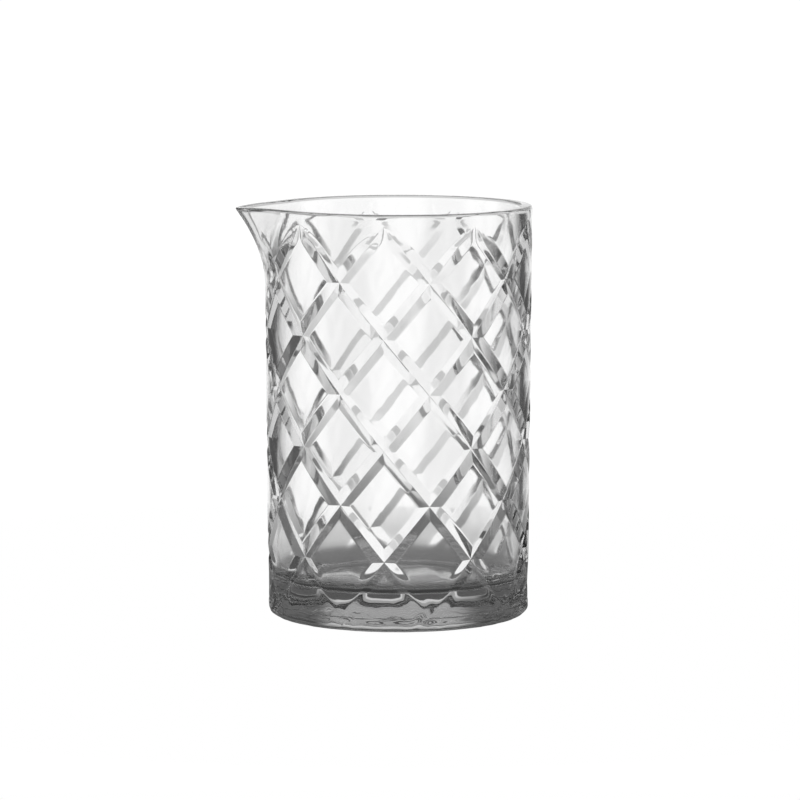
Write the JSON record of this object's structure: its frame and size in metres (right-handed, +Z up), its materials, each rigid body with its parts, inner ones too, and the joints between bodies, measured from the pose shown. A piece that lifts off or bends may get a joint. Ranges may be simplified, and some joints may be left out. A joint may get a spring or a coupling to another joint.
{
  "type": "mixing glass",
  "caption": "Straight-sided clear cocktail mixing glass with a heavy base, a diamond lattice pressed into the outside, a plain round bowl and a pulled pouring spout.",
  "frame": {"origin": "centre of the flat foot, on the surface that the glass stands on", "axes": "+Z up out of the bowl's mouth, the pouring spout points along -X"},
  "size_m": [0.1064, 0.0958, 0.147],
  "materials": {
    "clear_glass": "clear, colourless, fire-polished"
  },
  "bodies": {
    "root": {"vessel": "clear_glass"}
  },
  "joints": []
}
